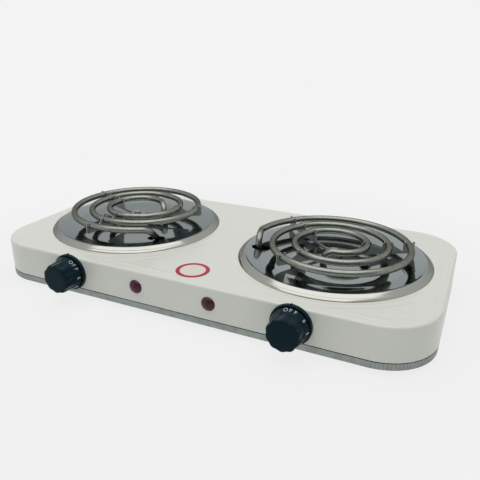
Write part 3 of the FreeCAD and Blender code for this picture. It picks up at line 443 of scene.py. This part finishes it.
# Drip pans: thin steel dishes pressed with a flat middle, a floor that rises gently to a raised ring, and a
# rim that slopes down to the deck, then chromed to a mirror. Each lies over its hole in the deck, and the
# coil's legs go down through a slot and a hole in it.
PAN_PROFILE = [
    (2.8, 2.0), (12, 2.0), (40, 2.0), (60, 2.0), (70, 2.02), (74, 2.12), (77, 2.4), (81, 2.9), (85, 3.4),
    (88, 3.8), (90, 4.08), (91.3, 4.3), (92.2, 4.75), (92.9, 5.05), (93.6, 5.05), (94.3, 4.75), (95.6, 3.85),
    (96.9, 2.95), (97.3, 2.6), (97.65, 2.55), (98.1, 2.45), (98.8, 1.8), (99.5, 1.0), (99.95, 0.4),
    (99.9, 0.05), (99.3, 0.05), (98.3, 0.95), (97.0, 1.95), (95.6, 2.95), (94.4, 3.85), (93.3, 4.15),
    (92.3, 3.75), (91.3, 3.4), (88, 2.95), (81, 2.05), (75, 1.35), (68, 1.2), (40, 1.2), (2.8, 1.2),
]
SLOT_HALF = 6.3
SLOT_LENGTH = 20
LEG_HOLE_RADIUS = 4.2
PEG_HEIGHT = 30
TOLERANCE = 0.01
PAN_OPENINGS = {
    "left": {"slot": (53.3, -40.1), "turn": 22, "leg": (27.15, 17.7)},
    "right": {"slot": (-76.2, -14.8), "turn": 21, "leg": (-4.45, -22.35)},
}


def cut(piece, radius, length, place, turn):
    """Cuts a slot with round ends, or a round hole, down through a piece."""
    bpy.ops.object.select_all(action="DESELECT")
    bpy.ops.mesh.primitive_cylinder_add(vertices=48, radius=radius * MM, depth=PEG_HEIGHT * MM)
    peg = bpy.context.object
    stretch = (length / 2 - radius) * MM
    for end in (-1, 1):
        select_points(peg, lambda point: point.x / MM * end > TOLERANCE)
        bpy.ops.transform.translate(value=(stretch * end, 0, 0))
        bpy.ops.object.mode_set(mode="OBJECT")
    put(peg, (*place, 0), (0, 0, turn))
    modify(piece, "BOOLEAN", operation="DIFFERENCE", solver="EXACT", object=peg)
    bpy.data.objects.remove(peg)


def copied(piece, name):
    """A copy of a piece, with a mesh of its own."""
    double = piece.copy()
    double.data = piece.data.copy()
    double.name = name
    bpy.context.collection.objects.link(double)
    return double


chrome = Finish("chrome_plate", {"Metallic": 1.0, "Specular Tint": (0.41, 0.42, 0.42, 1.0)})
smear = chrome.noise(34, 5)
haze = chrome.noise(260, 3)
x, y = chrome.plan()
reach = chrome.reach(abs(x) - BURNERS["right"], y - MIDDLE_Y)
# On the rim the chrome is rougher, and its base colour is made a little darker as painted shade that dims
# the overhead light's highlight there.
rim_rough_and_painted_shade = chrome.ramp(reach, 92.5, 94.5)
polished = chrome.mix(smear, colour(160, 167, 168), colour(169, 175, 175))
chrome.set({
    "Base Color": chrome.mix(rim_rough_and_painted_shade, polished, colour(158, 158, 153)),
    "Roughness": chrome.ramp(smear, 0.35, 0.75, 0.03, 0.1) + haze * 0.02 + rim_rough_and_painted_shade * 0.07,
    "Normal": chrome.relief(smear * 0.06),
})
pan = turned("pan", PAN_PROFILE, 96)
bpy.ops.mesh.select_all(action="DESELECT")
bpy.ops.mesh.select_non_manifold()
bpy.ops.mesh.bridge_edge_loops()
outward()
modify(pan, "SUBSURF", levels=2, render_levels=2)
for side, openings in PAN_OPENINGS.items():
    dish = copied(pan, f"{side}_pan")
    cut(dish, SLOT_HALF, SLOT_LENGTH, openings["slot"], openings["turn"])
    cut(dish, LEG_HOLE_RADIUS, 2 * LEG_HOLE_RADIUS, openings["leg"], 0)
    put(dish, (BURNERS[side], MIDDLE_Y, DECK_Z))
    smooth(dish, 40)
    dish.data.materials.append(chrome.material)
    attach(dish, "housing")
    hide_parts(f"drip_pan_{side}")
bpy.data.objects.remove(pan)


# Heating coils: sheathed elements wound from one tube, drawn smooth and annealed to an olive grey.
sheath = Finish("heater_sheath", {"Metallic": 1.0, "Specular Tint": (0.36, 0.37, 0.35, 1.0)})
tint = sheath.noise(26, 3)
scale = sheath.noise(240, 4)
drawn = sheath.noise(1300, 2)
annealed = sheath.mix(tint, colour(124, 128, 122), colour(132, 134, 126))
sheath.set({
    "Base Color": sheath.mix(sheath.ramp(scale, 0.45, 0.8), annealed, colour(114, 117, 110)),
    "Roughness": scale * 0.08 + 0.2,
    "Normal": sheath.relief(drawn * 0.01),
})
sheath.dress("heating_coil_left", "heating_coil_right")


# Coil supports, their posts and bolts: rolled steel darkened by heat. Each support is a star of three
# strips on a hub, forked to hold the turns of its coil.
strip = Finish("blued_strip", {"Metallic": 1.0})
rolled = strip.noise(60, 3)
strip.set({
    "Base Color": strip.mix(rolled, colour(138, 144, 148), colour(158, 162, 162)),
    "Roughness": rolled * 0.15 + 0.42,
})
strip.dress("support_posts")
for side in BURNERS:
    strip.dress(f"coil_support_{side}", f"centre_bolt_{side}")


# Ears of the supports: small tongues pinched up on both sides of the tube wherever an arm crosses a turn,
# bright where the tool has scraped them.
EAR = (0.7, 2.4, 4.6)
EAR_OFFSET = 3.9
EAR_BEVEL = 0.25
ARM_START = 30
ARM_HALF = 2.5
TURN_GAP = 2
ARM_ANGLES = {"left": (20, 161, 265), "right": (24, 141, 236)}


def crossings(coil, middle, angle):
    """Where an arm at an angle meets the turns of a coil: how far out each is, and how high its top."""
    along_x = math.cos(math.radians(angle))
    along_y = math.sin(math.radians(angle))
    near = []
    for point in coil.data.vertices:
        x = point.co.x / MM - middle
        y = point.co.y / MM - MIDDLE_Y
        out = x * along_x + y * along_y
        aside = y * along_x - x * along_y
        if out > ARM_START and abs(aside) < ARM_HALF:
            near.append((out, point.co.z / MM))
    near.sort()
    turns = [[near[0]]]
    for before, here in zip(near, near[1:]):
        if here[0] - before[0] > TURN_GAP:
            turns.append([])
        turns[-1].append(here)
    return [((turn[0][0] + turn[-1][0]) / 2, max(top for out, top in turn)) for turn in turns]


def ear(middle, angle, out, top):
    """One tongue, standing across an arm and reaching up to the top of the tube."""
    bpy.ops.object.select_all(action="DESELECT")
    bpy.ops.mesh.primitive_cube_add(size=1)
    tongue = bpy.context.object
    tongue.scale = metres(EAR)
    x = middle + out * math.cos(math.radians(angle))
    y = MIDDLE_Y + out * math.sin(math.radians(angle))
    put(tongue, (x, y, top - EAR[2] / 2), (0, 0, angle))
    return tongue


for side, middle in BURNERS.items():
    ears = []
    for angle in ARM_ANGLES[side]:
        for out, top in crossings(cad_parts[f"heating_coil_{side}"], middle, angle):
            ears.append(ear(middle, angle, out - EAR_OFFSET, top))
            ears.append(ear(middle, angle, out + EAR_OFFSET, top))
    pick(*ears)
    bpy.ops.object.join()
    ears[0].name = f"{side}_support_ears"
    modify(ears[0], "BEVEL", width=EAR_BEVEL * MM, segments=2)
    ears[0].data.materials.append(plating.material)
    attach(ears[0], "housing")


# Dial rings: black moulded plastic with a pointer at the top, held by the control's two screws.
moulding = Finish("black_moulding", {"Specular IOR Level": 0.09, "Specular Tint": (0.45, 0.85, 1.0, 1.0)})
spark = moulding.noise(2200, 2)
touch = moulding.noise(120, 4)
moulding.set({
    "Base Color": moulding.mix(touch, colour(15, 31, 39), colour(20, 38, 46)),
    "Roughness": touch * 0.1 + 0.27,
    "Normal": moulding.relief(spark * 0.02),
})
moulding.dress("dial_ring_left", "dial_ring_right")


# Knobs: black mouldings with a coned skirt for the markings and ten flutes in the grip. Each is pushed on
# to its flatted shaft, and the markings are printed in white.
KNOB_PROFILE = [
    (15.2, 4.7), (16.0, 4.5), (17.3, 4.5), (17.85, 4.8), (17.95, 5.9), (17.7, 6.6), (17.15, 8.2),
    (16.75, 9.5), (16.55, 10.3), (16.45, 10.9), (16.4, 11.7), (16.4, 12.6), (16.3, 16.0), (16.2, 19.0),
    (16.1, 21.2), (15.7, 22.6), (14.9, 23.4), (13.6, 23.85), (11.5, 24.0), (7.0, 24.0), (3.0, 24.0),
]
FLUTE_DIP = {11.7: 0.7, 12.6: 1.6, 16.0: 1.7, 19.0: 1.65, 21.2: 1.5, 22.6: 1.3, 23.4: 1.0, 23.85: 0.6}
FLUTES = 10
FLUTE_STEP = 360 / FLUTES
COLUMNS = 4
COLUMN_SHARES = {0: 1.0, 1: 0.4}
SKIRT_SLOPE = 20.6
MARK_RADIUS = 17.25
MARK_HEIGHT = 8
MARK_SIZE = 5.5
MARK_DEPTH = 0.12
MARK_THINNED = 0.08
OFF_ANGLE = 5
LETTER_STEP = 15
SETTINGS = 6
SETTING_STEP = 40
SETTINGS_START = 288
WALL_Y = -111
CONTROL_Z = 30.1
TO_FRONT = (90, 0, 0)
KNOB_FACTS = {"left": {"x": -124.75, "turn": 40}, "right": {"x": 121.35, "turn": 0}}


def on_flute(place, radius, height, column):
    """Whether a point of one ring of the knob is a number of columns from the middle of a flute."""
    sector = math.degrees(math.atan2(place.y, place.x)) % FLUTE_STEP
    from_middle = min(sector, FLUTE_STEP - sector)
    in_column = abs(from_middle - column * FLUTE_STEP / COLUMNS) < 1
    at_height = abs(place.z / MM - height) < TOLERANCE
    return in_column and at_height and abs(place.xy.length / MM - radius) < TOLERANCE


def mark(text, angle):
    """One printed letter or number on the skirt, an angle round from the top, clockwise from the front."""
    bpy.ops.object.select_all(action="DESELECT")
    bpy.ops.object.text_add()
    letter = bpy.context.object
    letter.data.body = text
    letter.data.size = MARK_SIZE * MM
    letter.data.align_x = "CENTER"
    letter.data.align_y = "CENTER"
    letter.data.extrude = MARK_DEPTH * MM
    letter.data.offset = -MARK_THINNED * MM
    bpy.ops.object.convert(target="MESH")
    x = MARK_RADIUS * math.sin(math.radians(angle))
    y = MARK_RADIUS * math.cos(math.radians(angle))
    put(letter, (x, y, MARK_HEIGHT), (SKIRT_SLOPE - 90, 0, -angle))
    return letter


knob = turned("knob", KNOB_PROFILE, FLUTES * COLUMNS)
close_end()
outward()
for radius, height in KNOB_PROFILE:
    for column, share in COLUMN_SHARES.items():
        select_points(knob, lambda place: on_flute(place, radius, height, column))
        ratio = 1 - FLUTE_DIP.get(height, 0) * share / radius
        bpy.ops.transform.resize(value=(ratio, ratio, 1), center_override=(0, 0, 0))
        bpy.ops.object.mode_set(mode="OBJECT")
modify(knob, "SUBSURF", levels=2, render_levels=2)

ink = Finish("white_print", {"Specular IOR Level": 0.4})
fade = ink.noise(900, 3)
ink.set({
    "Base Color": ink.mix(fade, colour(206, 212, 212), colour(232, 235, 234)),
    "Roughness": fade * 0.2 + 0.4,
})
letters = [mark(text, OFF_ANGLE + LETTER_STEP * place) for place, text in enumerate("OFF", -1)]
for number in range(1, SETTINGS + 1):
    letters.append(mark(str(number), OFF_ANGLE + SETTINGS_START - SETTING_STEP * number))
pick(*letters)
bpy.ops.object.join()
marks = letters[0]

for side, facts in KNOB_FACTS.items():
    for source, name, finish in ((knob, "knob_grip", moulding), (marks, "knob_marks", ink)):
        piece = copied(source, f"{side}_{name}")
        put(piece, (0, 0, 0), (0, 0, -facts["turn"]))
        put(piece, (facts["x"], WALL_Y, CONTROL_Z), TO_FRONT)
        piece.data.materials.append(finish.material)
        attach(piece, f"{side}_control")
    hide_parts(f"knob_{side}")
    smooth(bpy.data.objects[f"{side}_knob_grip"], 50)
bpy.data.objects.remove(knob)
bpy.data.objects.remove(marks)


# Pilot lamps: ribbed dark red lenses pressed through the front wall, each with a small neon bulb behind.
LENS_PROFILE = [
    (7.15, 0.02), (7.15, 0.45), (6.85, 0.85), (6.3, 1.2), (5.9, 1.4), (5.75, 1.3), (5.5, 1.65), (4.9, 2.05),
    (4.3, 2.4), (4.1, 2.32), (3.85, 2.6), (3.2, 2.9), (2.6, 3.1), (2.4, 3.02), (2.15, 3.2), (1.5, 3.4),
    (0.7, 3.5),
]
LAMPS = {"left": -42.5, "right": 39.1}
lens = turned("lens", LENS_PROFILE, 48)
close_end()
outward()
modify(lens, "SUBSURF", levels=2, render_levels=2)
ruby = Finish("ruby_lens", {"IOR": 1.49, "Specular IOR Level": 0.3})
depth = ruby.noise(320, 2)
ruby.set({
    "Base Color": ruby.mix(depth, colour(62, 18, 38), colour(80, 24, 48)),
    "Roughness": depth * 0.1 + 0.16,
})
glass = Finish("bulb_glass", {"IOR": 1.47, "Transmission Weight": 0.6})
film = glass.noise(500, 2)
glass.set({
    "Base Color": glass.mix(film, colour(236, 214, 196), colour(246, 232, 220)),
    "Roughness": film * 0.1 + 0.05,
})
glass.dress("lamp_bulb_left", "lamp_bulb_right")
ruby.dress("lamp_lens_left", "lamp_lens_right")
for side, across in LAMPS.items():
    piece = copied(lens, f"{side}_lens_face")
    put(piece, (across, WALL_Y, CONTROL_Z), TO_FRONT)
    piece.data.materials.append(ruby.material)
    smooth(piece, 60)
    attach(piece, "housing")
bpy.data.objects.remove(lens)


# Studio: a wide pale floor, one large soft light overhead, a dark flag that only shiny surfaces see, and the
# camera at the height and angle of the photograph.
BACKDROP = colour(243, 243, 243)
RAYS = ("Is Camera Ray", "Is Glossy Ray", "Is Transmission Ray")
FLOOR_RADIUS = 6000
SHADOW_SHARE = 0.1
LIGHT_PLACE = (-20, -200, 1400)
LIGHT_WIDTH = 1900
FLAG_PLACE = (560, -1180, 500)
FLAG_TURN = 25.3
FLAG_WIDTH = 2600
FLAG_HEIGHT = 1000
CAMERA_PLACE = (249.80, -490.63, 264.64)
CAMERA_TURN = (68.526, -0.384, 25.303)
CAMERA_NEAR = 10

bpy.ops.object.select_all(action="DESELECT")
bpy.ops.mesh.primitive_circle_add(vertices=96, radius=FLOOR_RADIUS * MM, fill_type="NGON")
floor = bpy.context.object
floor.name = "studio_floor"
ground = Finish("pale_floor", {
    "Base Color": colour(242, 242, 241),
    "Roughness": 0.9,
    "Specular IOR Level": 0.0,
})
x, y = ground.plan()
far = ground.ramp(ground.reach(x, y), 250, 450)
seen, mirrored, through = [ground.node("ShaderNodeLightPath", {}, {}, ray) for ray in RAYS]
looked_at = ground.math("MAXIMUM", seen, ground.math("MAXIMUM", mirrored, through))
glowing = looked_at * (far * SHADOW_SHARE + (1 - SHADOW_SHARE))
glow = ground.node("ShaderNodeEmission", {}, {"Color": BACKDROP, "Strength": 1.0})
surface = Value(ground, ground.shader.outputs[0])
mixed = ground.node("ShaderNodeMixShader", {}, {0: glowing, 1: surface, 2: glow})
ground.feed(ground.tree.nodes["Material Output"].inputs["Surface"], mixed)
floor.data.materials.append(ground.material)

scene = bpy.context.scene
world = bpy.data.worlds.new("studio")
scene.world = world
world.use_nodes = True
tree = world.node_tree
backdrop = tree.nodes["Background"]
backdrop.inputs["Color"].default_value = BACKDROP
backdrop.inputs["Strength"].default_value = 1.0
ambient = tree.nodes.new("ShaderNodeBackground")
ambient.inputs["Color"].default_value = (0.92, 1.0, 1.03, 1.0)
ambient.inputs["Strength"].default_value = 0.28
path = tree.nodes.new("ShaderNodeLightPath")
any_view = path.outputs[RAYS[0]]
for ray in RAYS[1:]:
    either = tree.nodes.new("ShaderNodeMath")
    either.operation = "MAXIMUM"
    tree.links.new(any_view, either.inputs[0])
    tree.links.new(path.outputs[ray], either.inputs[1])
    any_view = either.outputs[0]
choice = tree.nodes.new("ShaderNodeMixShader")
tree.links.new(any_view, choice.inputs[0])
tree.links.new(ambient.outputs[0], choice.inputs[1])
tree.links.new(backdrop.outputs[0], choice.inputs[2])
tree.links.new(choice.outputs[0], tree.nodes["World Output"].inputs["Surface"])

bpy.ops.object.select_all(action="DESELECT")
bpy.ops.object.light_add(type="AREA", location=metres(LIGHT_PLACE))
overhead = bpy.context.object
overhead.name = "overhead"
overhead.data.size = LIGHT_WIDTH * MM
overhead.data.energy = 15.5
overhead.data.color = (1.0, 0.99, 0.96)
overhead.rotation_euler = overhead.location.to_track_quat("Z", "Y").to_euler()

bpy.ops.object.select_all(action="DESELECT")
bpy.ops.mesh.primitive_plane_add(size=1, location=metres(FLAG_PLACE))
flag = bpy.context.object
flag.name = "dark_flag"
flag.rotation_euler = (math.radians(90), 0, math.radians(FLAG_TURN))
flag.scale = (FLAG_WIDTH * MM, FLAG_HEIGHT * MM, 1)
flag.visible_camera = False
flag.visible_diffuse = False
flag.visible_shadow = False
felt = Finish("flag_felt", {
    "Base Color": (0, 0, 0, 1),
    "Emission Color": (0.9, 1.0, 1.1, 1),
    "Emission Strength": 0.25,
})
flag.data.materials.append(felt.material)

bpy.ops.object.camera_add(location=metres(CAMERA_PLACE))
camera = bpy.context.object
camera.rotation_euler = [math.radians(angle) for angle in CAMERA_TURN]
camera.data.sensor_width = 36.0
camera.data.lens = 39.417
camera.data.clip_start = CAMERA_NEAR * MM
scene.camera = camera
scene.view_settings.view_transform = "Standard"
